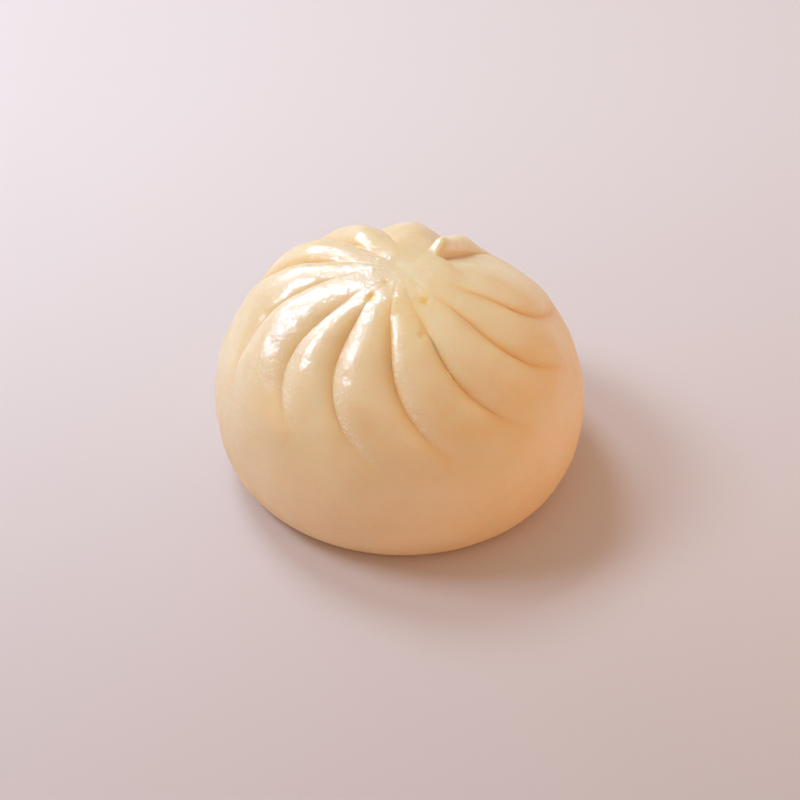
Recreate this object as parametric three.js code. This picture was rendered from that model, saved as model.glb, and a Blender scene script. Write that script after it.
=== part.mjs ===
// A steamed bun of plain wheat dough, shut at the top by twelve twisted pleats.
// It is one closed solid, in millimetres, +Z up, and it stands on its flat foot.
import * as THREE from "three";

// The plain dome under the pleats
const BELLY_RADIUS = 45.4;
const BELLY_HEIGHT = 19.5;
const CROWN_HEIGHT = 61.8;
const FOOT_RADIUS = 37;

// How far the outline of the dome, seen from above, departs from a circle
const PLAN_WAVES = [
  { turns: 1, cosine: -0.033, sine: -0.018 },
  { turns: 2, cosine: 0.03, sine: -0.012 },
];

// One entry for each pleat, anticlockwise from the right. Its crease lies at angle (degrees)
// half way down, misses the middle of the crown by miss and turns by hook (degrees) before
// it ends. It starts, is at its fullest and ends at start, full and end millimetres along the
// dough from the crown. Its fold stands rise above the crease, and is highest at crest,
// a share of the way across to the next crease.
const PLEATS = [
  { angle: 50.5, miss: 7.5, hook: -6, start: 10.1, full: 15.3, end: 49, rise: 3.5, crest: 0.39 },
  { angle: 65.8, miss: 4.9, hook: 8.6, start: 10, full: 24.8, end: 46, rise: 3.4, crest: 0.46 },
  { angle: 102.7, miss: 0.5, hook: 11.2, start: 9, full: 21, end: 51.4, rise: 3.06, crest: 0.46 },
  { angle: 131.3, miss: -4.2, hook: 8, start: 9, full: 28, end: 50, rise: 2.8, crest: 0.41 },
  { angle: 157.2, miss: -4.1, hook: -0.5, start: 11, full: 30, end: 52, rise: 2.2, crest: 0.4 },
  { angle: 181.5, miss: 1.3, hook: 17, start: 9, full: 28, end: 58, rise: 2.8, crest: 0.44 },
  { angle: 210, miss: -2, hook: 20.5, start: 11, full: 30, end: 53, rise: 2.8, crest: 0.43 },
  { angle: 233.5, miss: 3, hook: 24.5, start: 11, full: 29, end: 57, rise: 2.7, crest: 0.4 },
  { angle: 263, miss: 5.6, hook: 18, start: 12, full: 30, end: 54, rise: 2.5, crest: 0.32 },
  { angle: 290.2, miss: 7.4, hook: 21, start: 13, full: 31, end: 54, rise: 1.6, crest: 0.23 },
  { angle: 319.8, miss: 7.6, hook: 23.5, start: 11, full: 30, end: 52, rise: 1, crest: 0.2 },
  { angle: 346.5, miss: 6.7, hook: 50, start: 10, full: 28, end: 56, rise: 0.8, crest: 0.16 },
];
const PLEAT_COUNT = PLEATS.length;

// How every pleat is shaped
const HALF_WAY = 30;
const TWIST_CORE = 12;
const HOOK_START = 27;
const FAINT_START = 3;
const FAINT_SHARE = 0.03;
const FADE_START = 0.62;
const FADE_END = 1.06;
const SINK_SHARE = 0.62;
const FULLNESS = 0.7;
const CREASE_DEPTH = 0.12;
const CREASE_WIDTH = 0.7;
const FULL_CREASE_RISE = 1.6;
const CRISP = 1.2;
const SOFT = 4.5;
const SOFT_START = 0.5;
const LEAN = 0.12;
const LEAN_AT = 1.2;

// The hollow in the middle of the crown, places where the dough swells or sinks, and the
// lumps of the gather
const CROWN_DIP = { depth: 1, spread: 9 };
const SWELLS = [
  { from: 27.8, angle: 46.3, height: -1.8, spread: 13.2 },
  { from: 36, angle: 150, height: 0.86, spread: 16 },
  { from: 7.5, angle: 110, height: 0.5, spread: 3.2 },
  { from: 8, angle: 178, height: 0.3, spread: 2.6 },
  { from: 7, angle: 20, height: 0.3, spread: 3.6 },
  { from: 4, angle: 262, height: 0.35, spread: 2.8 },
  { from: 10, angle: 266, height: 0.3, spread: 2 },
  { from: 9, angle: 310, height: 0.25, spread: 2.2 },
  { from: 3, angle: 140, height: -0.3, spread: 2 },
];

// The net of faces: rings round the bun, with more columns where the pleats are
const RING_STEP = 1.6;
const PLEATS_DONE = 62;
const LOWER_RINGS = 10;
const FULL_COLUMNS = 9;
const COARSE_COLUMNS = 3;
const CROWDING = 0.13;
const EVEN_START = 50;
const SLANT_STEP = 0.25;
const FOOT_MIDDLE = 0.7;
const FOOT_INNER = 0.3;

const DOUGH = new THREE.MeshStandardMaterial({ color: 0xf3e3c3, roughness: 0.45, metalness: 0 });

const radians = (degrees) => THREE.MathUtils.degToRad(degrees);
const mix = (from, to, share) => THREE.MathUtils.lerp(from, to, share);
const ease = (value, start, end) => THREE.MathUtils.smoothstep(value, start, end);
const bell = (distance, spread) => Math.exp(-((distance / spread) ** 2));

const BELLY_ARC = (BELLY_RADIUS * Math.PI) / 2;
const TUCK_ARC = (Math.PI / 2) * Math.hypot(BELLY_RADIUS - FOOT_RADIUS, BELLY_HEIGHT) * Math.SQRT1_2;
const FOOT_ARC = BELLY_ARC + TUCK_ARC;

// Radius, height and outward direction of the plain dome, arc millimetres from the crown.
function domeAt(arc) {
  if (arc < BELLY_ARC) {
    const fall = arc / BELLY_RADIUS;
    return {
      radius: BELLY_RADIUS * Math.sin(fall),
      height: BELLY_HEIGHT + (CROWN_HEIGHT - BELLY_HEIGHT) * Math.cos(fall),
      out: Math.sin(fall),
      up: Math.cos(fall),
    };
  }
  const tuck = (Math.min(1, (arc - BELLY_ARC) / TUCK_ARC) * Math.PI) / 2;
  return {
    radius: mix(FOOT_RADIUS, BELLY_RADIUS, Math.cos(tuck)),
    height: BELLY_HEIGHT * (1 - Math.sin(tuck)),
    out: Math.cos(tuck),
    up: -Math.sin(tuck),
  };
}

function planFactor(angle) {
  return PLAN_WAVES.reduce((sum, wave) => {
    const turned = radians(wave.turns * angle);
    return sum + wave.cosine * Math.cos(turned) + wave.sine * Math.sin(turned);
  }, 1);
}

// Angle of a crease. It leaves the crown on a tangent, as the dough was twisted shut,
// and hooks onwards at its end. Below the pleats the columns spread evenly.
function creaseAngle(index, arc) {
  const lap = Math.floor(index / PLEAT_COUNT);
  const pleat = PLEATS[index % PLEAT_COUNT];
  const twist = pleat.miss * (1 / Math.hypot(arc, TWIST_CORE) - 1 / Math.hypot(HALF_WAY, TWIST_CORE));
  const along = THREE.MathUtils.clamp((arc - HOOK_START) / (pleat.end - HOOK_START), 0, 1);
  const angle = pleat.angle - THREE.MathUtils.radToDeg(twist) + pleat.hook * along ** 2;
  const even = EVEN_START + ((index % PLEAT_COUNT) * 360) / PLEAT_COUNT;
  return mix(angle, even, ease(arc, PLEATS_DONE, FOOT_ARC)) + 360 * lap;
}

// Cosine of the angle between a crease and the straight way down.
function creaseSlant(index, arc, radius) {
  const turn = radians(creaseAngle(index, arc + SLANT_STEP) - creaseAngle(index, arc - SLANT_STEP));
  return 1 / Math.hypot(1, (radius * turn) / (2 * SLANT_STEP));
}

// Height of a pleat's fold: faint in the gather at the crown, none below its end.
function pleatStrength(index, arc) {
  const { start, full, end, rise } = PLEATS[index % PLEAT_COUNT];
  const faint = FAINT_SHARE * ease(arc, FAINT_START, 2 * FAINT_START);
  const gathered = mix(faint, 1, ease(arc, start, full));
  return rise * gathered * (1 - ease(arc, FADE_START * end, FADE_END * end));
}

// Cross-section of a fold, from 0 at its creases to 1 at its crest. Its foot is crisp near
// the crown and soft towards its end.
function foldSection(index, share, arc, width) {
  const { end, crest } = PLEATS[index % PLEAT_COUNT];
  const softness = mix(CRISP, SOFT, ease(arc, SOFT_START * end, end)) / width;
  const across = (Math.hypot(share, softness) - softness) / (Math.hypot(1, softness) - softness);
  return Math.abs(Math.sin(Math.PI * across ** (Math.log(0.5) / Math.log(crest)))) ** FULLNESS;
}

// Height of the pleats over the dome, share of the way across a pleat from its own crease,
// and how far the fold leans over that crease.
function pleatRelief(index, share, arc, radius) {
  const width = radius * radians(creaseAngle(index + 1, arc) - creaseAngle(index, arc));
  const fromCrease = share * width * creaseSlant(index, arc, radius);
  const toNext = (1 - share) * width * creaseSlant(index + 1, arc, radius);
  const own = pleatStrength(index, arc);
  const next = pleatStrength(index + 1, arc);
  const line =
    Math.min(1, own / FULL_CREASE_RISE) * bell(fromCrease, CREASE_WIDTH) +
    Math.min(1, next / FULL_CREASE_RISE) * bell(toNext, CREASE_WIDTH);
  const fold = own * foldSection(index, share, arc, width);
  const lean = LEAN * own * bell(fromCrease - LEAN_AT, LEAN_AT) * Math.min(1, (2 * fromCrease) / LEAN_AT);
  return { height: fold - SINK_SHARE * mix(own, next, share) - CREASE_DEPTH * line, lean };
}

// Swells and hollows, at a place given by its arc and angle.
function unevenness(arc, angle) {
  const x = arc * Math.cos(radians(angle));
  const y = arc * Math.sin(radians(angle));
  return SWELLS.reduce((sum, swell) => {
    const away = Math.hypot(
      x - swell.from * Math.cos(radians(swell.angle)),
      y - swell.from * Math.sin(radians(swell.angle)),
    );
    return sum + swell.height * bell(away, swell.spread);
  }, -CROWN_DIP.depth * bell(arc, CROWN_DIP.spread));
}

// A point of the dough's skin.
function skinPoint(index, share, arc) {
  const dome = domeAt(arc);
  const angle = mix(creaseAngle(index, arc), creaseAngle(index + 1, arc), share);
  const relief = pleatRelief(index, share, arc, dome.radius);
  const height = relief.height + unevenness(arc, angle);
  const reach = dome.radius * planFactor(angle) + dome.out * height;
  const turned = radians(angle);
  return [
    reach * Math.cos(turned) + relief.lean * Math.sin(turned),
    reach * Math.sin(turned) - relief.lean * Math.cos(turned),
    arc < FOOT_ARC ? dome.height + dome.up * height : 0,
  ];
}

// Share across a pleat of one of its columns. The columns crowd towards the creases.
function columnShare(column, columns, arc) {
  const even = column / columns;
  const crowded = even - CROWDING * Math.sin(2 * Math.PI * even);
  return mix(crowded, even, ease(arc, PLEATS_DONE, FOOT_ARC));
}

function skinRing(arc, columns) {
  const points = [];
  for (let index = 0; index < PLEAT_COUNT; index += 1) {
    for (let column = 0; column < columns; column += 1) {
      points.push(skinPoint(index, columnShare(column, columns, arc), arc));
    }
  }
  return points;
}

// A ring inside the flat foot, drawn in from the foot's edge.
function footRing(share, columns) {
  return skinRing(FOOT_ARC, columns).map(([x, y]) => [x * share, y * share, 0]);
}

// Rings from the crown down to the foot's edge and in across the foot.
function allRings() {
  const crown = [0, 0, CROWN_HEIGHT + unevenness(0, 0)];
  const rings = [[crown], skinRing(RING_STEP, 1), skinRing(2 * RING_STEP, COARSE_COLUMNS)];
  for (let arc = 3 * RING_STEP; arc < PLEATS_DONE; arc += RING_STEP) {
    rings.push(skinRing(arc, FULL_COLUMNS));
  }
  for (let ring = 0; ring <= LOWER_RINGS; ring += 1) {
    rings.push(skinRing(mix(PLEATS_DONE, FOOT_ARC, ring / LOWER_RINGS), FULL_COLUMNS));
  }
  rings.push(footRing(FOOT_MIDDLE, COARSE_COLUMNS), footRing(FOOT_INNER, 1), [[0, 0, 0]]);
  return rings;
}

// Triangles between a ring and a finer one below it, facing out.
function stitch(coarse, fine, faces) {
  const steps = fine.length / coarse.length;
  const turn = Math.ceil(steps / 2);
  coarse.forEach((here, place) => {
    const next = coarse[(place + 1) % coarse.length];
    for (let step = 0; step < steps; step += 1) {
      const from = fine[place * steps + step];
      const to = fine[(place * steps + step + 1) % fine.length];
      faces.push([step < turn ? here : next, from, to]);
    }
    if (coarse.length > 1) {
      faces.push([here, fine[(place * steps + turn) % fine.length], next]);
    }
  });
}

function skinGeometry() {
  const rings = allRings();
  const positions = rings.flat(2);
  let first = 0;
  const numbered = rings.map((ring) => {
    first += ring.length;
    return ring.map((_, place) => first - ring.length + place);
  });
  const faces = [];
  for (let row = 1; row < numbered.length; row += 1) {
    const above = numbered[row - 1];
    const below = numbered[row];
    const found = [];
    if (below.length >= above.length) {
      stitch(above, below, found);
      faces.push(...found);
    } else {
      stitch(below, above, found);
      faces.push(...found.map(([a, b, c]) => [a, c, b]));
    }
  }
  const geometry = new THREE.BufferGeometry();
  geometry.setAttribute("position", new THREE.Float32BufferAttribute(positions, 3));
  geometry.setIndex(faces.flat());
  return geometry;
}

// The bun's origin is under the middle of its outline, on the surface it stands on.
function makeBun() {
  const geometry = skinGeometry();
  geometry.computeBoundingBox();
  const middle = geometry.boundingBox.getCenter(new THREE.Vector3());
  geometry.translate(-middle.x, -middle.y, 0);
  geometry.computeVertexNormals();
  const bun = new THREE.Mesh(geometry, DOUGH);
  bun.name = "bun";
  return bun;
}

const model = new THREE.Group();
model.add(makeBun());

export default model;
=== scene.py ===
# %% [markdown]
# A steamed bun, pleated shut
#
# The real bun is one ball of soft wheat dough, rolled out, filled, and closed by taking the
# rim up in small folds. The cook turns the bun a little for each fold and twists the top
# shut. Steam then swells the dough, so that the folds become soft lobes with narrow creases
# between them, and leaves a thin moist skin.
#
# This lesson builds it in Blender in four parts: the skin as a mesh, the dough as a
# material, a plain studio round it, and the camera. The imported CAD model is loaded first. It
# fixes where the bun stands and how large it is, and nothing here changes that.

# %% Load the frame
import math

import bmesh
import bpy
import numpy as np
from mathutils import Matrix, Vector, noise


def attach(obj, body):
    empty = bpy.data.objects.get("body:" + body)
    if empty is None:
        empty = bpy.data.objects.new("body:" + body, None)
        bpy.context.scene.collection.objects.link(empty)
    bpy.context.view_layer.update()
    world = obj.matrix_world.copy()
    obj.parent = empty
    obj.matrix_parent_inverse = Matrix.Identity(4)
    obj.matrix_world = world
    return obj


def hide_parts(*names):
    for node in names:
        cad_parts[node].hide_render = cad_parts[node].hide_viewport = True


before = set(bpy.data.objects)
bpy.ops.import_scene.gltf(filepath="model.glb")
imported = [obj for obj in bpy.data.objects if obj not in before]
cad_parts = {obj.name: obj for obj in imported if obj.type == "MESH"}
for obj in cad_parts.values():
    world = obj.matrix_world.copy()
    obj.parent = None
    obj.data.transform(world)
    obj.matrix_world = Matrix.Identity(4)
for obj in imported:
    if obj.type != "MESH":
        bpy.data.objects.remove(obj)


scene = bpy.context.scene
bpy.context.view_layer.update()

# %% [markdown]
# Soft steps and small hills
#
# Dough has no corners, so nothing here starts or stops at once. Two curves do most of the
# work: a soft step from 0 to 1, and a round hill that dies away on all sides. Blender has
# curves like them in the Map Range node and in proportional editing. Here they are plain
# functions, so that a whole mesh can be worked out with them.

# %% Helpers for soft steps and small hills
def ease(value, start, end):
    """0 before start, 1 after end, and a soft step between them."""
    share = np.clip((value - start) / (end - start), 0, 1)
    return share * share * (3 - 2 * share)


def bell(distance, spread):
    """A round hill that is 1 in its middle and about a third at its spread."""
    return np.exp(-((distance / spread) ** 2))


def mix(first, second, share):
    """The first value at share 0, the second at share 1."""
    return first + (second - first) * share


print("A soft step, a quarter of the way along:", round(float(ease(0.25, 0, 1)), 3))
print("A hill at its spread:", round(float(bell(1.0, 1.0)), 3))

# %% [markdown]
# The plain dome
#
# Under its folds the bun is a low dome that tucks in towards a flat foot. A sculpted sphere
# could do this, but the folds have to follow the dough, from the crown down and round. So
# the skin is worked out as a formula of two numbers: how far a point lies down the dough
# from the crown, its arc, and how far it lies round. Every fold then becomes a few terms in
# that formula, and the mesh is simply the formula read at many places.
# All lengths are millimetres until the mesh is made, where they become metres.

# %% The dome's measures
BELLY_RADIUS = 45.4
BELLY_HEIGHT = 19.5
CROWN_HEIGHT = 61.8
FOOT_RADIUS = 37.0

BELLY_ARC = BELLY_RADIUS * math.pi / 2
TUCK_ARC = math.pi / 2 * math.hypot(BELLY_RADIUS - FOOT_RADIUS, BELLY_HEIGHT) * math.sqrt(0.5)
FOOT_ARC = BELLY_ARC + TUCK_ARC
print("Down the dough from the crown to the foot:", round(FOOT_ARC, 1), "mm")

# %% The dome from the side
def dome_at(arc):
    """Radius, height, and the two parts of the outward direction, for each arc."""
    fall = np.clip(arc / BELLY_ARC, 0, 1) * math.pi / 2
    tuck = np.clip((arc - BELLY_ARC) / TUCK_ARC, 0, 1) * math.pi / 2
    above = arc < BELLY_ARC
    radius = np.where(above, BELLY_RADIUS * np.sin(fall), mix(FOOT_RADIUS, BELLY_RADIUS, np.cos(tuck)))
    upper = BELLY_HEIGHT + (CROWN_HEIGHT - BELLY_HEIGHT) * np.cos(fall)
    height = np.where(above, upper, BELLY_HEIGHT * (1 - np.sin(tuck)))
    out = np.where(above, np.sin(fall), np.cos(tuck))
    up = np.where(above, np.cos(fall), -np.sin(tuck))
    return radius, height, out, up


print("Widest ring:", round(float(dome_at(np.array([BELLY_ARC]))[0][0]), 1), "mm from the axis")

# %% The dome from above
# waves in a turn, and the share of the radius that each adds along x and along y
PLAN_WAVES = [(1, -0.033, -0.018), (2, 0.03, -0.012)]


def plan_factor(angle):
    """How far the outline seen from above departs from a circle."""
    factor = np.ones_like(angle)
    for turns, cosine, sine in PLAN_WAVES:
        factor += cosine * np.cos(turns * angle) + sine * np.sin(turns * angle)
    return factor


quarter_turns = np.radians([0, 90, 180, 270])
print("Radius as a share of a circle's, each quarter turn:", np.round(plan_factor(quarter_turns), 3))

# %% [markdown]
# Where the pleats lie
#
# A bun like this has about a dozen pleats, and no two are alike. Each one leaves the crown a
# little to one side of its middle, because the dough was twisted as it was closed, runs down
# over the shoulder, and hooks round as it fades out. Curves drawn by hand would work, but a
# short table is easier to adjust: one row for each crease, read by one formula. At the back
# the photo shows only the tops of the folds, so how they end there is a guess.

# %% The pleats
# angle in degrees half way down, miss of the crown's middle, hook in degrees, arcs at which
# the pleat starts, is full and ends, its rise, and where across it the fold is highest
PLEAT_COLUMNS = ("angle", "miss", "hook", "start", "full", "end", "rise", "crest")
PLEATS = np.array(
    [
        (50.5, 7.5, -6, 10.1, 15.3, 49, 3.5, 0.39),
        (65.8, 4.9, 8.6, 10, 24.8, 46, 3.4, 0.46),
        (102.7, 0.5, 11.2, 9, 21, 51.4, 3.06, 0.46),
        (131.3, -4.2, 8, 9, 28, 50, 2.8, 0.41),
        (157.2, -4.1, -0.5, 11, 30, 52, 2.2, 0.4),
        (181.5, 1.3, 17, 9, 28, 58, 2.8, 0.44),
        (210, -2.0, 20.5, 11, 30, 53, 2.8, 0.43),
        (233.5, 3.0, 24.5, 11, 29, 57, 2.7, 0.4),
        (263, 5.6, 18, 12, 30, 54, 2.5, 0.32),
        (290.2, 7.4, 21, 13, 31, 54, 1.6, 0.23),
        (319.8, 7.6, 23.5, 11, 30, 52, 1.0, 0.2),
        (346.5, 6.7, 50, 10, 28, 56, 0.8, 0.16),
    ]
)
PLEAT_COUNT = len(PLEATS)


def pleat_values(index, *columns):
    """These columns of the table, for pleats that are counted on and on round the bun."""
    rows = PLEATS[index % PLEAT_COUNT]
    return [rows[..., PLEAT_COLUMNS.index(column)] for column in columns]


print("Pleats:", PLEAT_COUNT, "with rises in mm of", PLEATS[:, PLEAT_COLUMNS.index("rise")])

# %% The way that a crease takes
# the arc for which the table gives a crease's angle
HALF_WAY = 30.0
# how near the crown's middle the twist is tightest
TWIST_CORE = 12.0
# the arc from which the creases hook
HOOK_START = 27.0
# below this arc no pleat is left, and the columns of the mesh spread evenly
PLEATS_DONE = 62.0
EVEN_START = 50.0


def crease_angle(index, arc):
    """Angle of a crease in degrees. Below the pleats the columns spread evenly."""
    angle, miss, hook, end = pleat_values(index, "angle", "miss", "hook", "end")
    twist = miss * (1 / np.hypot(arc, TWIST_CORE) - 1 / math.hypot(HALF_WAY, TWIST_CORE))
    along = np.clip((arc - HOOK_START) / (end - HOOK_START), 0, 1)
    creased = angle - np.degrees(twist) + hook * along**2
    even = EVEN_START + (index % PLEAT_COUNT) * 360 / PLEAT_COUNT
    return mix(creased, even, ease(arc, PLEATS_DONE, FOOT_ARC)) + 360 * (index // PLEAT_COUNT)


all_creases = np.arange(PLEAT_COUNT)
print("Creases at the crown, degrees:", np.round(crease_angle(all_creases, 0.0)))
print("Creases low on the shoulder:", np.round(crease_angle(all_creases, 50.0)))

# %% How far a point lies from its two creases
SLANT_STEP = 0.25


def crease_slant(index, arc, radius):
    """Cosine of the angle between a crease and the straight way down."""
    turn = np.radians(crease_angle(index, arc + SLANT_STEP) - crease_angle(index, arc - SLANT_STEP))
    return 1 / np.hypot(1, radius * turn / (2 * SLANT_STEP))


def crease_distances(index, share, arc, radius):
    """Width of a pleat, and the distances from the crease before it and to the next one."""
    width = radius * np.radians(crease_angle(index + 1, arc) - crease_angle(index, arc))
    from_crease = share * width * crease_slant(index, arc, radius)
    to_next = (1 - share) * width * crease_slant(index + 1, arc, radius)
    return width, from_crease, to_next


pleat_widths = crease_distances(all_creases, 0.5, HALF_WAY, dome_at(np.array([HALF_WAY]))[0])[0]
print("Widths of the pleats half way down, mm:", np.round(pleat_widths, 1))

# %% [markdown]
# The shape across a pleat
#
# Cut across one pleat and it isn't a plain wave. The folded dough stands up steeply just
# past its crease, leans back over it, and then slopes gently down to the next one. A sine
# wave would look like a moulded jelly. So the way across is bent before the sine is taken,
# which moves the crest towards the crease, and the wave is raised to a power under 1, which
# makes a steep, full brow. Everything sinks a little as well, so that the creases cut into
# the dough while the brows stay close to the plain dome.

# %% How high a pleat stands
# from this arc a pleat has a trace of its rise, and in the gather no more than that
FAINT_START = 3.0
FAINT_SHARE = 0.03
# shares of a pleat's end between which it fades out
FADE_START = 0.62
FADE_END = 1.06


def pleat_strength(index, arc):
    """Height of a pleat in mm: faint in the gather, none below its end."""
    start, full, end, rise = pleat_values(index, "start", "full", "end", "rise")
    gathered = mix(FAINT_SHARE * ease(arc, FAINT_START, 2 * FAINT_START), 1, ease(arc, start, full))
    return rise * gathered * (1 - ease(arc, FADE_START * end, FADE_END * end))


for arc in (HALF_WAY / 2, HALF_WAY, HALF_WAY * 1.5):
    print("Pleats", arc, "mm down, mm high:", np.round(pleat_strength(all_creases, arc), 1))

# %% The pleat's cross-section
# share of a pleat's height by which the dough sinks there
SINK_SHARE = 0.62
# power of the wave, full where it is under 1
FULLNESS = 0.7
# how blunt the foot of a fold is, in mm, where it is crisp and where it fades out
CRISP = 1.2
SOFT = 4.5
SOFT_START = 0.5
CREASE_DEPTH = 0.12
CREASE_WIDTH = 0.7
# a pleat that stands this high has the whole of its crease
FULL_CREASE_RISE = 1.6
# share of its height by which a brow leans over, and how far past the crease
LEAN = 0.12
LEAN_AT = 1.2


def crease_share(strength):
    """How much of a whole crease a pleat of this height has."""
    return np.minimum(1, strength / FULL_CREASE_RISE)


def pleat_relief(index, share, arc, radius):
    """Height of the pleats over the dome, and how far a brow leans over its crease."""
    width, from_crease, to_next = crease_distances(index, share, arc, radius)
    end, crest = pleat_values(index, "end", "crest")
    softness = mix(CRISP, SOFT, ease(arc, SOFT_START * end, end)) / width
    across = (np.hypot(share, softness) - softness) / (np.hypot(1, softness) - softness)
    fold = np.abs(np.sin(math.pi * across ** (math.log(0.5) / np.log(crest)))) ** FULLNESS
    own = pleat_strength(index, arc)
    following = pleat_strength(index + 1, arc)
    line = crease_share(own) * bell(from_crease, CREASE_WIDTH)
    line = line + crease_share(following) * bell(to_next, CREASE_WIDTH)
    height = own * fold - SINK_SHARE * mix(own, following, share) - CREASE_DEPTH * line
    lean = LEAN * own * bell(from_crease - LEAN_AT, LEAN_AT)
    lean *= np.minimum(1, 2 * from_crease / LEAN_AT)
    return height, lean


cut_shares = np.linspace(0, 1, 9)
cut_pleat = np.full(len(cut_shares), 7)
cut_arc = np.full(len(cut_shares), HALF_WAY)
cut_radius = dome_at(cut_arc)[0]
cut_heights, _ = pleat_relief(cut_pleat, cut_shares, cut_arc, cut_radius)
print("A cut across the eighth pleat, mm over the dome:", np.round(cut_heights, 2))

# %% [markdown]
# Where the skin changes
#
# The folds differ in more than shape. Light soaks into the dough where two folds meet, so
# the valleys glow ochre, and that glow and shade is painted into the colour. The brows at the
# near left have a grainy skin, perhaps from steam that settled there, with painted sheen and
# white glints on it. One small fold's face is painted paler, as painted light on a face that
# the lamps leave in shade. All this could be painted by hand in Texture Paint. Here it is
# worked out beside the shape, from the same distances, and kept with each point as a number
# from 0 to 1, a mask, so a tint always lies on its own fold.

# %% Masks that follow the pleats
MASKS = ("valley_shade", "grain_and_glint", "pit_shade", "painted_glow")
# one number for each pleat: how much painted ochre shade its valley has, how grainy and glinting its brow,
# how much painted light its face has
VALLEY_SHADE_LOBES = np.array([0.0, 0.6, 1.0, 1.0, 0.6, 0.5, 0.7, 1.2, 1.2, 1.0, 1.0, 1.0])
GRAIN_AND_GLINT_LOBES = np.array([0.1, 0.1, 0.3, 0.8, 1.0, 1.0, 1.0, 1.0, 0.8, 0.3, 0.15, 0.1])
GLOW_LOBES = np.array([1.0, 0, 0, 0, 0, 0, 0, 0, 0, 0, 0, 0])
# the painted ochre shade starts a little above its pleat, and fades out round the pleat's end
VALLEY_LEAD = 4.0
VALLEY_FULL_SHARE = 0.4
VALLEY_FADE = (0.75, 1.1)
# it is narrow beside its own crease, and wider the gentler the slope down to the next one
VALLEY_WIDTH = 1.1
SLOPE_WIDTH = 0.9
SLOPE_WIDTH_FOR_CREST = 3
# how far past the crease the brow is, and how far it spreads
BROW_AT = 1.6
BROW_SPREAD = 1.8
# the painted light on the small fold's face starts between two arcs and ends between two shares of its
# fold's length
GLOW_START = (12, 18)
GLOW_FADE = (0.55, 0.95)
# it lies clear of the crease, and covers about half of the way across
GLOW_FROM_CREASE = (0.3, 1.2)
GLOW_ACROSS = (0.35, 0.6)


def pleat_masks(index, share, arc, radius):
    """How far the skin is valley shade, grainy brow with painted sheen and glints, and painted light on a
    fold's face.
    """
    _, from_crease, to_next = crease_distances(index, share, arc, radius)
    start, full, end, crest = pleat_values(index, "start", "full", "end", "crest")
    lobe = index % PLEAT_COUNT
    tinted = ease(arc, start - VALLEY_LEAD, mix(start, full, VALLEY_FULL_SHARE))
    tinted = tinted * (1 - ease(arc, VALLEY_FADE[0] * end, VALLEY_FADE[1] * end))
    slope_width = SLOPE_WIDTH + SLOPE_WIDTH_FOR_CREST * crest
    hollows = bell(from_crease, VALLEY_WIDTH) + bell(to_next, slope_width)
    valley_shade = tinted * hollows * VALLEY_SHADE_LOBES[lobe]
    brow = crease_share(pleat_strength(index, arc)) * bell(from_crease - BROW_AT, BROW_SPREAD)
    glow_left = 1 - ease(arc, GLOW_FADE[0] * end, GLOW_FADE[1] * end)
    painted_glow = GLOW_LOBES[lobe] * ease(arc, *GLOW_START) * glow_left
    painted_glow = painted_glow * ease(from_crease, *GLOW_FROM_CREASE) * (1 - ease(share, *GLOW_ACROSS))
    return np.clip(valley_shade, 0, 1), brow * GRAIN_AND_GLINT_LOBES[lobe], painted_glow


_, cut_grainy, _ = pleat_masks(cut_pleat, cut_shares, cut_arc, cut_radius)
print("The same cut, how grainy:", np.round(cut_grainy, 2))

# %% [markdown]
# Swells, pits and the gathered crown
#
# Steam never swells dough evenly. A broad swell and a broad hollow change the outline. The
# crown, where all the folds were pinched together, is a shallow, lumpy gather, with a few
# small pits round it, whose yellow is painted shade. Shallow dents along the wet brows part
# their shine into islands. A sculpting brush would do for any of these. Here each is one soft
# hill, up or down, so it can be moved by changing two numbers.

# %% Hills at their places
def hill_sum(hills, arc, angle):
    """Soft hills, each given by distance from the crown, angle, height and spread."""
    x, y = arc * np.cos(angle), arc * np.sin(angle)
    total = np.zeros_like(x)
    for away, turned, lift, spread in hills:
        at_x = away * math.cos(math.radians(turned))
        at_y = away * math.sin(math.radians(turned))
        total = total + lift * bell(np.hypot(x - at_x, y - at_y), spread)
    return total


two_hills = [(1, 0, 1, 2), (1, 180, 1, 2)]
saddle = hill_sum(two_hills, np.zeros(1), np.zeros(1))[0]
print("Between two hills of 1 mm, 2 mm apart:", round(float(saddle), 2), "mm")

# %% Where the dough swells or sinks
# distance from the crown, angle in degrees, height, spread
SWELLS = [(27.8, 46.3, -1.8, 13.2), (36, 150, 0.86, 16)]
# small pits round the crown, as if air had been caught between the folds
PITS = [(12.4, 228.6, -0.5, 1.1), (6.5, 222.6, -0.3, 1.0), (12.3, 294, -0.3, 1.2), (21.7, 281, -0.3, 0.9)]
# lumps and dips of the gather, and last a swell at the upper end of the small fold
GATHER_LUMPS = [
    (7.5, 110, 0.5, 3.2),
    (8.0, 178, 0.3, 2.6),
    (7.0, 20, 0.3, 3.6),
    (4.0, 262, 0.35, 2.8),
    (10.0, 266, 0.3, 2.0),
    (9.0, 310, 0.25, 2.2),
    (3.0, 140, -0.3, 2.0),
    (16.5, 56, 0.7, 3.2),
]
# along the brows that shine
SHINE_DENTS = [
    (34, 244.1, -0.2, 1.5),
    (34, 222.2, -0.2, 1.5),
    (37, 203, -0.25, 1.8),
    (30.5, 199.8, -0.35, 2.0),
    (22, 240.2, -0.12, 1.6),
    (23, 218, -0.15, 1.6),
    (27.5, 241.8, -0.12, 1.3),
]
CROWN_DIP = 1.0
CROWN_DIP_SPREAD = 9.0
UNEVEN_PLACES = SWELLS + PITS + GATHER_LUMPS + SHINE_DENTS


def unevenness(arc, angle):
    """How far the dough stands over the even dome, pleats apart."""
    return hill_sum(UNEVEN_PLACES, arc, angle) - CROWN_DIP * bell(arc, CROWN_DIP_SPREAD)


print("Uneven places:", len(UNEVEN_PLACES), "and the dip at the crown")
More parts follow.
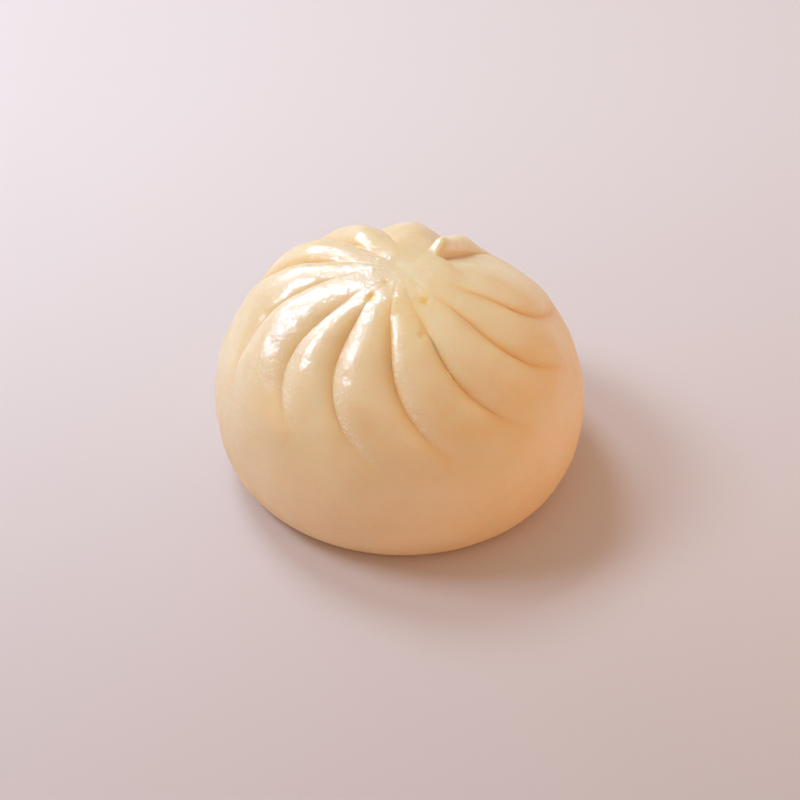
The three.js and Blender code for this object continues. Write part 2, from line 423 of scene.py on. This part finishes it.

# %% Where the skin is grainy with painted glints, or has painted shade, apart from the pleats
# distance from the crown, angle in degrees, strength of the mask, spread
GRAIN_AND_GLINT_PATCHES = [
    (9, 165, 0.9, 6),
    (13, 205, 0.7, 5),
    (6, 235, 0.5, 4),
    (15, 235, 0.5, 4),
    (34, 201.6, 0.8, 4),
    (40, 204.5, 0.8, 4),
    (44, 209, 0.7, 4),
    (35, 222, 0.75, 4),
    (28, 198.5, 0.9, 6),
    (31, 243.7, 0.5, 3),
    (37.5, 243.7, 0.8, 3.5),
    (42, 222, 0.6, 3),
]
# painted shade: yellow in the pits and in broad spots round the front of the gather
PIT_SHADE_SPOTS = [
    (12.4, 228.6, 1.0, 1.3),
    (6.5, 222.6, 0.7, 1.0),
    (12.3, 294, 0.9, 1.3),
    (21.7, 281, 0.7, 1.1),
    (12, 268, 0.3, 6),
    (10, 310, 0.25, 5),
    (20, 262, 0.2, 5),
]
print("Grainy patches:", len(GRAIN_AND_GLINT_PATCHES), "ochre spots:", len(PIT_SHADE_SPOTS))

# %% [markdown]
# From formula to mesh
#
# The skin is read along rings from the crown down. Rings near the crown are short, so they
# get fewer columns, and a ring is stitched to a finer one below it with triangles. That
# keeps most edges under a millimetre long, without the sliver faces that a plain grid leaves
# at its pole. The columns crowd towards the creases, where the dough bends most.

# %% A point of the skin
def skin(index, share, arc):
    """Positions in mm, and the masks in the order of their names."""
    radius, height, out, up = dome_at(arc)
    angle = mix(crease_angle(index, arc), crease_angle(index + 1, arc), share)
    angle = np.radians(angle)
    relief, lean = pleat_relief(index, share, arc, radius)
    swell = relief + unevenness(arc, angle)
    reach = radius * plan_factor(angle) + out * swell
    x = reach * np.cos(angle) + lean * np.sin(angle)
    y = reach * np.sin(angle) - lean * np.cos(angle)
    z = np.where(arc < FOOT_ARC, height + up * swell, 0)
    valley_shade, brow, painted_glow = pleat_masks(index, share, arc, radius)
    grain_and_glint = np.clip(brow + hill_sum(GRAIN_AND_GLINT_PATCHES, arc, angle), 0, 1)
    pit_shade = np.clip(hill_sum(PIT_SHADE_SPOTS, arc, angle), 0, 1)
    return np.stack([x, y, z], -1), np.stack([valley_shade, grain_and_glint, pit_shade, painted_glow], -1)


cut_places, _ = skin(cut_pleat, cut_shares, cut_arc)
print("The same cut, mm over the table:", np.round(cut_places[:, 2], 1))

# %% Rings of points
CROWDING = 0.13
# below the gather, and down to the foot, each pleat has this many columns
FINE_START = 17.2
FINE_COLUMNS = 36
# rings from one arc to the next, with their spacing and their columns for each pleat
BANDS = [
    (0.5, 1.2, 0.5, 1),
    (1.5, 3.2, 0.5, 3),
    (3.5, 8.2, 0.48, 9),
    (8.5, FINE_START, 0.46, 18),
    (FINE_START, PLEATS_DONE, 0.46, FINE_COLUMNS),
]
LOWER_RING_STEP = 0.8
# under the bun: share of the foot's radius, and columns for each pleat
FOOT_RINGS = [(0.97, 36), (0.93, 18), (0.85, 18), (0.75, 9), (0.6, 9), (0.45, 3), (0.3, 3), (0.15, 1)]


def skin_ring(arc, columns):
    """One ring of the skin. Its columns crowd towards the creases."""
    even = np.tile(np.arange(columns) / columns, PLEAT_COUNT)
    index = np.repeat(np.arange(PLEAT_COUNT), columns)
    crowded = even - CROWDING * np.sin(2 * math.pi * even)
    share = mix(crowded, even, ease(arc, PLEATS_DONE, FOOT_ARC))
    return skin(index, share, np.full(len(share), float(arc)))


def all_rings():
    """Every ring from the point at the crown to the point under the foot's middle."""
    crown = CROWN_HEIGHT + unevenness(np.zeros(1), np.zeros(1))[0]
    no_masks = np.zeros((1, len(MASKS)))
    rings = [(np.array([[0, 0, crown]]), no_masks)]
    for start, end, step, columns in BANDS:
        rings += [skin_ring(arc, columns) for arc in np.arange(start, end, step)]
    lower = math.ceil((FOOT_ARC - PLEATS_DONE) / LOWER_RING_STEP)
    rings += [skin_ring(arc, FINE_COLUMNS) for arc in np.linspace(PLEATS_DONE, FOOT_ARC, lower)]
    for share, columns in FOOT_RINGS:
        place, masks = skin_ring(FOOT_ARC, columns)
        rings.append((place * share, masks * 0))
    return rings + [(np.zeros((1, 3)), no_masks)]


rings = all_rings()
print("Rings:", len(rings), "with", sum(len(place) for place, _ in rings), "points")

# %% Stitch two rings together
def stitch(coarse, fine):
    """Faces between a ring and a finer or equal one below it, facing out."""
    steps = len(fine) // len(coarse)
    turn = math.ceil(steps / 2)
    faces = []
    for place, here in enumerate(coarse):
        following = coarse[(place + 1) % len(coarse)]
        own = [fine[(place * steps + step) % len(fine)] for step in range(steps + 1)]
        if steps == 1:
            faces.append((here, own[0], own[1], following))
            continue
        for step in range(steps):
            faces.append((here if step < turn else following, own[step], own[step + 1]))
        if len(coarse) > 1:
            faces.append((here, own[turn], following))
    return faces


print("Three points to six:", stitch(range(3), range(3, 9)))

# %% Stitch all the rings
def skin_faces(sizes):
    """Faces between each ring and the next, for rings of these sizes."""
    faces, first = [], 0
    for size, below in zip(sizes, sizes[1:]):
        upper = range(first, first + size)
        lower = range(first + size, first + size + below)
        if below >= size:
            faces += stitch(upper, lower)
        else:
            faces += [face[::-1] for face in stitch(lower, upper)]
        first += size
    return faces


points = np.vstack([place for place, _ in rings])
mask_values = np.concatenate([masks for _, masks in rings]).T
faces = skin_faces([len(place) for place, _ in rings])
middle = (points.min(0) + points.max(0)) / 2
points[:, :2] -= middle[:2]
print("Faces:", len(faces), "with their middle", np.round(middle[:2], 2), "mm from the bun's axis")

# %% [markdown]
# Uneven dough
#
# Seen close, dough is never as smooth as a formula. Soft noise read in space lifts and sinks
# the skin by a few tenths of a millimetre, more on the shoulders than on the foot. It could
# be a Displace modifier with a cloud texture, but reading the noise here keeps it in the
# mesh itself and lets it fade out towards the foot, which stays flat on the table.

# %% The bun as a smooth mesh
def make_mesh(name, places, polygons):
    """A smooth mesh in metres, from points in mm."""
    mesh = bpy.data.meshes.new(name)
    mesh.from_pydata((places / 1000).tolist(), [], polygons)
    mesh.update()
    mesh.shade_smooth()
    return mesh


bun_mesh = make_mesh("bun_skin", points, faces)
print("Points:", len(bun_mesh.vertices))

# %% Lift and sink the skin
# how wide the lumps are and how far they lift, the broadest first
LUMPS = [(9.0, 0.34), (4.2, 0.13), (2.0, 0.045)]
# heights over the table between which the lumps grow to their full lift
LUMPS_FROM = 0.5
LUMPS_FULL = 9
# each layer of noise is read in a part of space of its own
NOISE_STEP = (17.3, -9.1, 5.7)


def read_noise(places, size, seed):
    """Soft noise from about -1 to 1 at each place."""
    offset = Vector([seed * part for part in NOISE_STEP])
    return np.array([noise.noise(Vector(place) / size + offset) for place in places])


normals = np.empty(len(points) * 3)
bun_mesh.vertices.foreach_get("normal", normals)
lift = sum(tall * read_noise(points, size, seed) for seed, (size, tall) in enumerate(LUMPS, 1))
lift *= ease(points[:, 2], LUMPS_FROM, LUMPS_FULL)
points = points + normals.reshape(-1, 3) * lift[:, None]
bun_mesh.vertices.foreach_set("co", (points / 1000).ravel())
bun_mesh.update()
print("Lumps:", round(float(lift.min()), 2), "to", round(float(lift.max()), 2), "mm")

# %% Keep the masks that the dough's colour will read
def keep_mask(mesh, name, values):
    """A number kept with each point, which a material can read by its name."""
    mask = mesh.attributes.new(name, "FLOAT", "POINT")
    mask.data.foreach_set("value", values.astype(np.float32))


for name, values in zip(MASKS, mask_values):
    keep_mask(bun_mesh, name, values)
    print("Mask", name, "marks", int((values > 0.5).sum()), "points")

# %% The bun as one closed piece
bun = bpy.data.objects.new("bun_dough", bun_mesh)
scene.collection.objects.link(bun)
check = bmesh.new()
check.from_mesh(bun_mesh)
open_edges = sum(not edge.is_manifold for edge in check.edges)
check.free()
print("Triangles:", sum(len(face) - 2 for face in faces), "open edges:", open_edges)

# %% [markdown]
# The dough's material
#
# Cooked dough is pale cream, and light soaks into it: that is what makes its creases glow a
# warm ochre where other things would show grey, and that glow and shade is also painted into
# the colour. Its skin is moist, with a broken shine over fine dimples, painted white glints
# where it is grainy, and a few small pores. A photo laid over the bun would give all that
# from one side only. Here the colour, the dimples and the moisture come from noise in the
# object's own space, which needs no unwrapping, and from the masks.

# %% A new material, and how to add a node to it
def feed(tree, socket, value):
    """Link a socket to another one, or give it a plain value."""
    if isinstance(value, bpy.types.NodeSocket):
        tree.links.new(value, socket)
    else:
        socket.default_value = value


def add_node(tree, kind, settings=None, **inputs):
    """A node with its settings, its inputs set or linked by name."""
    node = tree.nodes.new(kind)
    for name, value in (settings or {}).items():
        setattr(node, name, value)
    for name, value in inputs.items():
        feed(tree, node.inputs[name.replace("_", " ")], value)
    return node


dough = bpy.data.materials.new("steamed_dough")
dough.use_nodes = True
tree = dough.node_tree
shader = tree.nodes["Principled BSDF"]
place = add_node(tree, "ShaderNodeTexCoord").outputs["Object"]
print("Nodes at the start:", [node.name for node in tree.nodes])

# %% Noise to read the dough's finish from
# spots to the metre, and how many finer layers are laid over them
CLOUDS = (70.0, 3.0)
MOTTLE = (420.0, 3.0)
DIMPLES = (700.0, 3.0)
GRAIN = (1250.0, 2.0)
WRINKLES = (1500.0, 1.0)
# wrinkles are longer round the bun than up it
WRINKLE_STRETCH = (0.6, 0.6, 1.0)


def soft_noise(tree, place, scale, detail):
    """Noise with about this many spots to the metre, from 0 to 1 and mostly near the middle."""
    return add_node(tree, "ShaderNodeTexNoise", Vector=place, Scale=scale, Detail=detail).outputs["Fac"]


stretched = add_node(tree, "ShaderNodeMapping", Vector=place, Scale=WRINKLE_STRETCH).outputs["Vector"]
clouds = soft_noise(tree, place, *CLOUDS)
mottle = soft_noise(tree, place, *MOTTLE)
dimples = soft_noise(tree, place, *DIMPLES)
grain = soft_noise(tree, place, *GRAIN)
wrinkles = soft_noise(tree, stretched, *WRINKLES)
print("Spots are from", round(1000 / CLOUDS[0], 1), "to", round(1000 / WRINKLES[0], 1), "mm wide")

# %% The masks, read back from the mesh
masks = {}
for name in MASKS:
    masks[name] = add_node(tree, "ShaderNodeAttribute", {"attribute_name": name}).outputs["Fac"]
print("Masks in the material:", list(masks))

# %% Pores
# a pore lies in the middle of a cell of this scale, but only where the cell's number is high
PORE_CELLS = 160.0
PORE_RADIUS = 0.05
PORE_PICK = 0.82


def rescale(tree, value, low, high, to_low=0.0, to_high=1.0):
    """A soft step from to_low to to_high, while the value goes from low to high."""
    node = add_node(tree, "ShaderNodeMapRange", {"interpolation_type": "SMOOTHSTEP"}, Value=value)
    for name, number in (("From Min", low), ("From Max", high), ("To Min", to_low), ("To Max", to_high)):
        node.inputs[name].default_value = number
    return node.outputs[0]


def calculate(tree, operation, first, second):
    """Two values put together by one of the Math node's operations."""
    node = add_node(tree, "ShaderNodeMath", {"operation": operation})
    for socket, value in zip(node.inputs, (first, second)):
        feed(tree, socket, value)
    return node.outputs[0]


cells = add_node(tree, "ShaderNodeTexVoronoi", Vector=place, Scale=PORE_CELLS)
cell_number = add_node(tree, "ShaderNodeSeparateColor", Color=cells.outputs["Color"]).outputs[0]
picked = calculate(tree, "GREATER_THAN", cell_number, PORE_PICK)
pore_spot = rescale(tree, cells.outputs["Distance"], 0.0, PORE_RADIUS, 1.0, 0.0)
pore = calculate(tree, "MULTIPLY", pore_spot, picked)
print("One cell in", round(1 / (1 - PORE_PICK)), "has a pore")

# %% [markdown]
# The dough's colours
#
# Each tint is laid over the ones before it, as a cook would brush on egg: a share of 0
# leaves what is there, and 1 covers it. Low down a deeper, warmer cream is painted shade.
# The grainy brows get a frost of painted sheen and then white specks that are painted glints,
# the valleys an ochre painted shade, the small fold's face a paler cream that is painted
# light, and the pits a mottled yolk yellow and the pores tan, both painted shade. One colour
# ramp couldn't do this, because each tint has a place of its own.

# %% Lay the colours over each other
CREAM = (0.84, 0.715, 0.455, 1)
PALE = (0.86, 0.755, 0.515, 1)
# painted shade: a darker, warmer cream low down
SHADED_LOW_CREAM = (0.86, 0.64, 0.34, 1)
# painted sheen: a paler cream on the grainy brows where they shine
PAINTED_SHEEN = (0.88, 0.80, 0.66, 1)
# painted shade: the ochre glow in the valleys between folds
PAINTED_CREASE_SHADE = (0.86, 0.60, 0.26, 1)
# painted light: a paler cream on one small fold's face, a glow on a face the lamps leave in shade
PAINTED_GLOW_CREAM = (0.86, 0.86, 0.62, 1)
# painted glints: white specks on the grainy brows
PAINTED_GLINT = (0.96, 0.92, 0.84, 1)
# painted shade: a mottled yolk yellow in the pits
YOLK_PIT_SHADE = (0.86, 0.60, 0.15, 1)
# painted shade: tan in the pores
PAINTED_PORE_SHADE = (0.74, 0.50, 0.24, 1)
CLOUD_EDGES = (0.35, 0.65)
# painted shade: heights in metres between which the darker, warmer cream low down fades from this share to
# none
PAINTED_SHADE_HEIGHTS = (0.006, 0.036)
PAINTED_SHADE_SHARE = 0.55
# painted glints: grain noise between these values makes the white specks
GLINT_EDGES = (0.54, 0.66)
MOTTLE_EDGES = (0.35, 0.6)
MOTTLE_SHARE = (0.5, 1.0)


def blend_colours(tree, share, first, second):
    """The first colour at share 0, the second at share 1."""
    node = add_node(tree, "ShaderNodeMix", {"data_type": "RGBA"})
    for socket, value in ((node.inputs[0], share), (node.inputs[6], first), (node.inputs[7], second)):
        feed(tree, socket, value)
    return node.outputs[2]


above_table = add_node(tree, "ShaderNodeSeparateXYZ", Vector=place).outputs["Z"]
# painted shade, strongest at the foot
painted_low_shade = rescale(tree, above_table, *PAINTED_SHADE_HEIGHTS, PAINTED_SHADE_SHARE, 0.0)
# painted glints where the skin is grainy
painted_glints = calculate(tree, "MULTIPLY", masks["grain_and_glint"], rescale(tree, grain, *GLINT_EDGES))
mottled_pit_shade = calculate(tree, "MULTIPLY", masks["pit_shade"], rescale(tree, mottle, *MOTTLE_EDGES, *MOTTLE_SHARE))
colour = blend_colours(tree, rescale(tree, clouds, *CLOUD_EDGES), CREAM, PALE)
# where each tint lies, how strong it is there, and the tint
tints = [
    (painted_low_shade, 1.0, SHADED_LOW_CREAM),
    (masks["grain_and_glint"], 0.3, PAINTED_SHEEN),
    (masks["valley_shade"], 0.75, PAINTED_CREASE_SHADE),
    (masks["painted_glow"], 0.8, PAINTED_GLOW_CREAM),
    (painted_glints, 0.8, PAINTED_GLINT),
    (mottled_pit_shade, 1.0, YOLK_PIT_SHADE),
    (pore, 0.6, PAINTED_PORE_SHADE),
]
for share, strength, tint in tints:
    colour = blend_colours(tree, calculate(tree, "MULTIPLY", share, strength), colour, tint)
tree.links.new(colour, shader.inputs["Base Color"])
print("Tints over the cream:", len(tints))

# %% [markdown]
# A skin that is soft and wet at once
#
# Steamed dough shines twice. The dough itself is dull, and a film of water on it is sharp
# and broken up. One roughness can't do both, so the Principled shader's coat is the film. It
# has a bump of its own, with fine wrinkles that the dough under it doesn't get. Seen edge
# on, such a film would draw a white rim round the bun, and real dough has none, so the coat
# and the dough's own gloss fade towards the edges.

# %% Height of the fine relief
# one unit of height is a millimetre
BUMP_UNIT = 0.001
DIMPLE_HEIGHT = 0.2
PORE_DEPTH = 0.23
# height on plain skin, and where the skin is grainy
GRAIN_HEIGHT = (0.02, 0.16)
WRINKLE_HEIGHT = (0.06, 0.14)
# wrinkles are at their highest from where the skin is half grainy
WRINKLES_FULL_AT = 0.5
SOFT_BUMP = 0.5
WET_BUMP = 1.0

grain_most = rescale(tree, masks["grain_and_glint"], 0.0, 1.0, *GRAIN_HEIGHT)
wrinkle_most = rescale(tree, masks["grain_and_glint"], 0.0, WRINKLES_FULL_AT, *WRINKLE_HEIGHT)
grain_height = calculate(tree, "MULTIPLY", grain, grain_most)
height = calculate(tree, "ADD", calculate(tree, "MULTIPLY", dimples, DIMPLE_HEIGHT), grain_height)
height = calculate(tree, "SUBTRACT", height, calculate(tree, "MULTIPLY", pore, PORE_DEPTH))
wet_height = calculate(tree, "ADD", height, calculate(tree, "MULTIPLY", wrinkles, wrinkle_most))
soft_bump = add_node(tree, "ShaderNodeBump", Height=height, Distance=BUMP_UNIT, Strength=SOFT_BUMP)
wet_bump = add_node(tree, "ShaderNodeBump", Height=wet_height, Distance=BUMP_UNIT, Strength=WET_BUMP)
tree.links.new(soft_bump.outputs["Normal"], shader.inputs["Normal"])
tree.links.new(wet_bump.outputs["Normal"], shader.inputs["Coat Normal"])
print("Bumps:", [node.name for node in (soft_bump, wet_bump)])

# %% Soaking in, dull dough and wet film
# light goes 5 mm into the dough for red, half as far for green and a quarter for blue
DOUGH_SETTINGS = {
    "Subsurface Weight": 0.7,
    "Subsurface Radius": (1.0, 0.5, 0.25),
    "Subsurface Scale": 0.005,
    "IOR": 1.42,
    "Coat Roughness": 0.11,
}
ROUGHNESS = (0.42, 0.32)
# how far a face is turned away where the gloss starts and stops fading, and the gloss there
COAT_FADE = (0.5, 0.85, 0.9, 0.1)
GLOSS_FADE = (0.45, 0.85, 0.7, 0.15)

for name, value in DOUGH_SETTINGS.items():
    shader.inputs[name].default_value = value
facing = add_node(tree, "ShaderNodeLayerWeight", Blend=0.5).outputs["Facing"]
tree.links.new(rescale(tree, clouds, *CLOUD_EDGES, *ROUGHNESS), shader.inputs["Roughness"])
tree.links.new(rescale(tree, facing, *COAT_FADE), shader.inputs["Coat Weight"])
tree.links.new(rescale(tree, facing, *GLOSS_FADE), shader.inputs["Specular IOR Level"])
bun_mesh.materials.append(dough)
print("Dough nodes:", len(tree.nodes))

# %% [markdown]
# A plain studio
#
# The floor is a wide sheet of pale paper, a little darker and warmer towards the viewer. It
# isn't part of the bun. A curved backdrop would do as well, but seen from this high the
# floor fills the whole picture.

# %% Floor
FLOOR_HALF = 2.5

floor_mesh = bpy.data.meshes.new("floor")
corners = [(x * FLOOR_HALF, y * FLOOR_HALF, 0) for x, y in ((-1, -1), (1, -1), (1, 1), (-1, 1))]
floor_mesh.from_pydata(corners, [], [(0, 1, 2, 3)])
floor = bpy.data.objects.new("floor", floor_mesh)
scene.collection.objects.link(floor)
print("Floor:", 2 * FLOOR_HALF, "m wide")

# %% Pale paper
# painted shade: the paper is darker and warmer towards the viewer
SHADED_PAPER_NEAR = (0.60, 0.52, 0.53, 1)
PAPER_FAR = (0.79, 0.75, 0.80, 1)
PAPER_ROUGHNESS = 0.7
FIBRE = (0.9, 0.9, 0.9, 1)
FIBRE_SHARE = 0.06
FIBRES = (900.0, 3.0)
# painted shade: how far before and behind the bun the paper goes from one tone to the darker, warmer one,
# in metres
PAPER_FADE = 0.17

paper = bpy.data.materials.new("pale_paper")
paper.use_nodes = True
paper_tree = paper.node_tree
paper_shader = paper_tree.nodes["Principled BSDF"]
paper_shader.inputs["Roughness"].default_value = PAPER_ROUGHNESS
paper_place = add_node(paper_tree, "ShaderNodeTexCoord").outputs["Object"]
away_from_viewer = add_node(paper_tree, "ShaderNodeSeparateXYZ", Vector=paper_place).outputs["Y"]
far_share = rescale(paper_tree, away_from_viewer, -PAPER_FADE, PAPER_FADE)
fibre_share = calculate(paper_tree, "MULTIPLY", soft_noise(paper_tree, paper_place, *FIBRES), FIBRE_SHARE)
paper_colour = blend_colours(paper_tree, far_share, SHADED_PAPER_NEAR, PAPER_FAR)
paper_colour = blend_colours(paper_tree, fibre_share, paper_colour, FIBRE)
paper_tree.links.new(paper_colour, paper_shader.inputs["Base Color"])
floor_mesh.materials.append(paper)
print("Paper nodes:", len(paper_tree.nodes))

# %% [markdown]
# Light on the body and light on the skin
#
# The light comes from high on the left and from behind, as the shine and the shadow show.
# A photographer has one lamp for both the dough's body and its shine. In Blender a lamp can
# be kept out of either. So two soft boxes light the body, and three bluer ones, near them or
# lower, make the shine, which has to be blue to look white over warm cream. Two very weak
# lamps, low on the right and in front, give the warm glow there. The sky fills the rest,
# warmest near the ground.

# %% A soft box
# the lamps face the middle of the bun
AIM = Vector((0, 0, 0.03))


def soft_box(name, azimuth, elevation, distance, size, power, colour, shine=True, body=True, spread=180):
    """A square soft light that faces the bun, for its shine, its body or both."""
    turn, lift = math.radians(azimuth), math.radians(elevation)
    away = Vector((math.cos(lift) * math.cos(turn), math.cos(lift) * math.sin(turn), math.sin(lift)))
    light = bpy.data.lights.new(name, "AREA")
    light.size = size
    light.energy = power
    light.color = colour
    light.spread = math.radians(spread)
    lamp = bpy.data.objects.new(name, light)
    lamp.location = AIM + away * distance
    lamp.rotation_euler = (-away).to_track_quat("-Z", "Y").to_euler()
    lamp.visible_glossy = shine
    lamp.visible_diffuse = body
    lamp.visible_camera = False
    scene.collection.objects.link(lamp)
    print("Lamp", name, "at", [round(part, 2) for part in lamp.location])


print("The lamps aim", round(AIM.z * 1000), "mm over the table")

# %% Lights
BODY_COLOUR = (0.74, 0.88, 1.0)
SHINE_COLOUR = (0.50, 0.69, 1.0)
WARM_SIDE = (1.0, 0.38, 0.06)
WARM_FRONT = (1.0, 0.36, 0.05)
FAR = 1.0
NEAR = 0.35

# direction and height in degrees, distance and width in metres, power in watts
soft_box("left_light", 170, 49, FAR, 0.30, 3.85, BODY_COLOUR, shine=False)
soft_box("back_light", 123, 55, FAR, 0.28, 3.0, BODY_COLOUR, shine=False)
soft_box("left_shine", 172, 41, FAR, 0.35, 6.2, SHINE_COLOUR, body=False)
soft_box("back_shine", 126, 53, FAR, 0.32, 6.0, SHINE_COLOUR, body=False)
soft_box("low_back_shine", 128, 22, FAR, 0.40, 4.2, SHINE_COLOUR, body=False)
soft_box("warm_side", -22, 2, NEAR, 0.06, 0.018, WARM_SIDE, shine=False, spread=50)
soft_box("warm_front", -95, 2, NEAR, 0.06, 0.004, WARM_FRONT, shine=False, spread=50)

# %% Sky
SKY_LOW = (0.66, 0.27, 0.10, 1)
SKY_HIGH = (0.57, 0.44, 0.33, 1)
SKY_FADE = 0.6

world = bpy.data.worlds.new("studio")
scene.world = world
world.use_nodes = True
sky = world.node_tree
sky_direction = add_node(sky, "ShaderNodeTexCoord").outputs["Generated"]
sky_height = add_node(sky, "ShaderNodeSeparateXYZ", Vector=sky_direction).outputs["Z"]
sky_colour = blend_colours(sky, rescale(sky, sky_height, 0.0, SKY_FADE), SKY_LOW, SKY_HIGH)
sky.links.new(sky_colour, sky.nodes["Background"].inputs["Color"])
scene.view_settings.view_transform = "Standard"
print("Sky nodes:", len(sky.nodes))

# %% [markdown]
# The camera
#
# The photo was taken with a long lens from 43 degrees above the table. A level circle shows
# as an ellipse in a photo: how flat it is gives that angle, and how little a near one and a
# far one differ tells that the lens is long. The camera's place was worked out in that way
# beforehand, in mm from the bun's axis. It only has to be moved to the bun's middle, where
# the frame has its origin.

# %% Camera
LENS = 117.05
SENSOR_WIDTH = 36
ELEVATION = 43.12
CAMERA_AT = (-1.248, -484.96, 471.27)
FARTHEST = 10

camera_data = bpy.data.cameras.new("camera")
camera_data.lens = LENS
camera_data.sensor_width = SENSOR_WIDTH
camera_data.clip_end = FARTHEST
camera = bpy.data.objects.new("camera", camera_data)
camera.location = (Vector(CAMERA_AT) - Vector((middle[0], middle[1], 0))) / 1000
camera.rotation_euler = (math.radians(90 - ELEVATION), 0, 0)
scene.collection.objects.link(camera)
scene.camera = camera
print("Camera:", round(camera.location.length, 3), "m from the origin")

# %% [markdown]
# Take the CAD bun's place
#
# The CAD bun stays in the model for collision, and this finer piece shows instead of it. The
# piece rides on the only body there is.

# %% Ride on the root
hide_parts("bun")
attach(bun, "root")
